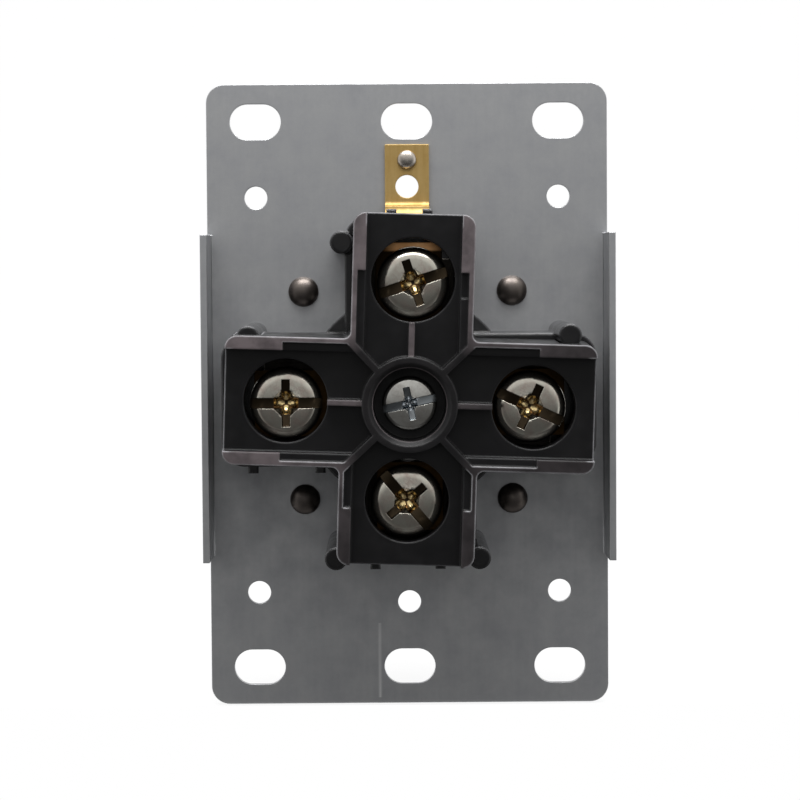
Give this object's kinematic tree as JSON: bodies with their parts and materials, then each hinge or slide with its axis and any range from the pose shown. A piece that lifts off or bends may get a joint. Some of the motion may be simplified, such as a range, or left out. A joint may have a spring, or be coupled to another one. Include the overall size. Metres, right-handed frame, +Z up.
{
  "type": "four-wire dryer receptacle",
  "caption": "Flush-mount four-prong dryer outlet: round slotted face, plated strap with box slots, black cross-shaped rear housing with screw wire clamps and a brass bonding strip.",
  "frame": {"origin": "middle of the strap's rear face, on the axis of the round face", "axes": "+Z up along the strap with the ground prong on top, +Y to the rear into the box, -Y out of the face"},
  "size_m": [0.0618, 0.0385, 0.0948],
  "materials": {
    "plated_steel": "zinc plated sheet, satin",
    "face_plastic": "moulded thermoset, satin",
    "black_plastic": "moulded thermoset, satin gloss",
    "insert_brass": "turned",
    "strip_brass": "stamped sheet, bright",
    "contact_brass": "stamped, bright",
    "spring_steel": "spring sheet",
    "terminal_steel": "nickel plated with a warm tarnish",
    "zinc_steel": "bright zinc plate",
    "rivet_steel": "polished domes",
    "bond_rivet_metal": "set rivet"
  },
  "bodies": {
    "outlet": {"mounting_strap": "plated_steel", "front_face": "face_plastic", "face_insert": "insert_brass", "contact_carrier": "black_plastic", "rear_cover": "black_plastic", "assembly_screw": "zinc_steel", "strap_rivets": "rivet_steel", "bonding_strip": "strip_brass", "bonding_rivet": "bond_rivet_metal", "ground_contact": "contact_brass", "ground_spring": "spring_steel", "neutral_contact": "contact_brass", "neutral_spring": "spring_steel", "line_x_contact": "contact_brass", "line_x_spring": "spring_steel", "line_y_contact": "contact_brass", "line_y_spring": "spring_steel"},
    "ground_screw": {"ground_screw": "terminal_steel"},
    "ground_clamp": {"ground_clamp": "terminal_steel"},
    "neutral_screw": {"neutral_screw": "terminal_steel"},
    "neutral_clamp": {"neutral_clamp": "terminal_steel"},
    "line_x_screw": {"line_x_screw": "terminal_steel"},
    "line_x_clamp": {"line_x_clamp": "terminal_steel"},
    "line_y_screw": {"line_y_screw": "terminal_steel"},
    "line_y_clamp": {"line_y_clamp": "terminal_steel"}
  },
  "joints": [
    {"name": "ground_screw_turn", "type": "hinge", "parent": "outlet", "child": "ground_screw", "pos_m": [-0.0006, 0.0235, 0.01724], "axis": [0, -1, 0], "range_deg": [0, 1950]},
    {"name": "ground_clamp_slide", "type": "slide", "parent": "outlet", "child": "ground_clamp", "axis": [0, 1, 0], "range_m": [0, 0.0043]},
    {"name": "neutral_screw_turn", "type": "hinge", "parent": "outlet", "child": "neutral_screw", "pos_m": [0.00049, 0.0235, -0.01399], "axis": [0, -1, 0], "range_deg": [0, 1950]},
    {"name": "neutral_clamp_slide", "type": "slide", "parent": "outlet", "child": "neutral_clamp", "axis": [0, 1, 0], "range_m": [0, 0.0043]},
    {"name": "line_x_screw_turn", "type": "hinge", "parent": "outlet", "child": "line_x_screw", "pos_m": [0.0177, 0.0235, 0.00017], "axis": [0, -1, 0], "range_deg": [0, 1950]},
    {"name": "line_x_clamp_slide", "type": "slide", "parent": "outlet", "child": "line_x_clamp", "axis": [0, 1, 0], "range_m": [0, 0.0043]},
    {"name": "line_y_screw_turn", "type": "hinge", "parent": "outlet", "child": "line_y_screw", "pos_m": [-0.01724, 0.0235, -0.0006], "axis": [0, -1, 0], "range_deg": [0, 1950]},
    {"name": "line_y_clamp_slide", "type": "slide", "parent": "outlet", "child": "line_y_clamp", "axis": [0, 1, 0], "range_m": [0, 0.0043]}
  ],
  "couplings": [
    {"joint": "ground_screw_turn", "follows": "ground_clamp_slide", "rad_per_m": 7913.3},
    {"joint": "neutral_screw_turn", "follows": "neutral_clamp_slide", "rad_per_m": 7913.3},
    {"joint": "line_x_screw_turn", "follows": "line_x_clamp_slide", "rad_per_m": 7913.3},
    {"joint": "line_y_screw_turn", "follows": "line_y_clamp_slide", "rad_per_m": 7913.3}
  ]
}
